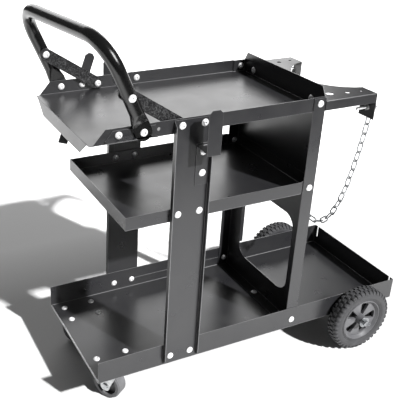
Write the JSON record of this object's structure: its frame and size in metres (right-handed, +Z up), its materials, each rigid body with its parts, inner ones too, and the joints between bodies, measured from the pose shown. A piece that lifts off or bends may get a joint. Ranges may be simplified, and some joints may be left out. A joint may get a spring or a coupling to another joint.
{
  "type": "welding cart",
  "caption": "Two-wheel welding cart of folded black sheet steel: stacked trays, push handle, cable hooks, swivel casters and a chained gas bottle rack.",
  "frame": {"origin": "on the floor, in the middle of the cart's outline", "axes": "+X from the handle end to the gas bottle end, +Y to the user's left, +Z up"},
  "size_m": [0.784, 0.3768, 0.7795],
  "materials": {
    "black_powder_coat": "semi-gloss black powder coat",
    "zinc_fastener": "bright zinc plating",
    "chain_zinc": "bright zinc plating",
    "caster_zinc": "bright zinc plating",
    "rear_tyre": "matte moulded rubber",
    "caster_tyre": "matte rubber",
    "hub_plastic": "moulded black plastic"
  },
  "bodies": {
    "cart": {"bottom_tray": "black_powder_coat", "middle_tray": "black_powder_coat", "top_tray": "black_powder_coat", "front_post_left": "black_powder_coat", "front_post_right": "black_powder_coat", "rear_frame": "black_powder_coat", "bottle_rack": "black_powder_coat", "handle": "black_powder_coat", "handle_brace_left": "black_powder_coat", "handle_brace_right": "black_powder_coat", "brace_spacers": "zinc_fastener", "handle_bracket_left": "black_powder_coat", "handle_bracket_right": "black_powder_coat", "cable_hook_left": "black_powder_coat", "cable_hook_right": "black_powder_coat", "side_bar": "black_powder_coat", "post_bolts": "zinc_fastener", "post_nuts": "zinc_fastener", "frame_bolts": "zinc_fastener", "frame_nuts": "zinc_fastener", "handle_bolts": "zinc_fastener", "handle_nuts": "zinc_fastener", "hook_bolts": "zinc_fastener", "hook_nuts": "zinc_fastener", "rear_axle": "zinc_fastener", "axle_ears": "black_powder_coat", "axle_washers": "zinc_fastener", "cotter_pins": "zinc_fastener", "caster_plate_left": "caster_zinc", "caster_plate_right": "caster_zinc", "caster_kingpin_left": "caster_zinc", "caster_kingpin_right": "caster_zinc", "caster_balls_left": "caster_zinc", "caster_balls_right": "caster_zinc", "caster_bolts": "zinc_fastener", "caster_nuts": "zinc_fastener", "chain_end_links": "chain_zinc", "chain_bolt": "zinc_fastener", "chain_bolt_nuts": "zinc_fastener"},
    "rear_wheel_left": {"rear_tyre_left": "rear_tyre", "rear_hub_left": "hub_plastic"},
    "caster_swivel_left": {"caster_fork_left": "caster_zinc", "caster_axle_left": "caster_zinc"},
    "caster_wheel_left": {"caster_wheel_left": "hub_plastic", "caster_tyre_left": "caster_tyre"},
    "rear_wheel_right": {"rear_tyre_right": "rear_tyre", "rear_hub_right": "hub_plastic"},
    "caster_swivel_right": {"caster_fork_right": "caster_zinc", "caster_axle_right": "caster_zinc"},
    "caster_wheel_right": {"caster_wheel_right": "hub_plastic", "caster_tyre_right": "caster_tyre"},
    "chain": {"bottle_chain": "chain_zinc"}
  },
  "joints": [
    {"name": "rear_wheel_left_spin", "type": "hinge", "parent": "cart", "child": "rear_wheel_left", "pos_m": [0.28099, 0.1595, 0.076], "axis": [0, 1, 0], "continuous": true},
    {"name": "caster_left_swivel", "type": "hinge", "parent": "cart", "child": "caster_swivel_left", "pos_m": [-0.29151, 0.0944, 0.08], "axis": [0, 0, 1], "continuous": true},
    {"name": "caster_left_roll", "type": "hinge", "parent": "caster_swivel_left", "child": "caster_wheel_left", "pos_m": [-0.29895, 0.10543, 0.032], "axis": [-0.829, -0.5592, 0], "continuous": true},
    {"name": "rear_wheel_right_spin", "type": "hinge", "parent": "cart", "child": "rear_wheel_right", "pos_m": [0.28099, -0.1595, 0.076], "axis": [0, 1, 0], "continuous": true},
    {"name": "caster_right_swivel", "type": "hinge", "parent": "cart", "child": "caster_swivel_right", "pos_m": [-0.29151, -0.0944, 0.08], "axis": [0, 0, 1], "continuous": true},
    {"name": "caster_right_roll", "type": "hinge", "parent": "caster_swivel_right", "child": "caster_wheel_right", "pos_m": [-0.29895, -0.08337, 0.032], "axis": [-0.829, -0.5592, 0], "continuous": true},
    {"name": "chain_swing", "type": "hinge", "parent": "cart", "child": "chain", "pos_m": [0.25499, -0.121, 0.573], "axis": [0, 0.9998, 0.0194], "range_deg": [-25, 3]}
  ]
}
